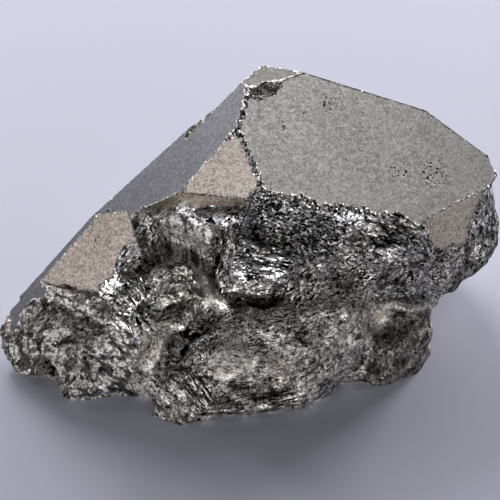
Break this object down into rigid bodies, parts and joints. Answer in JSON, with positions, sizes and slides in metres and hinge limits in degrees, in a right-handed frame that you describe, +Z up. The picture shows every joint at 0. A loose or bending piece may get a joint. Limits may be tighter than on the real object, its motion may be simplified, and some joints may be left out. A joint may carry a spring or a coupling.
{
  "type": "pyrite cluster",
  "caption": "Cluster of blocky metallic pyrite crystals with cut corners, broken off its bed, with a rough sparkling fracture below.",
  "frame": {"origin": "middle of the broad flat that the stone rests on", "axes": "+Z up from the flat it rests on, +X along its longest extent towards the large crystal, -Y towards the broken side"},
  "size_m": [0.0625, 0.0437, 0.0311],
  "materials": {
    "pyrite": "metallic crystal faces and a rough sparkling fracture"
  },
  "bodies": {
    "root": {"pyrite_cluster": "pyrite"}
  },
  "joints": []
}
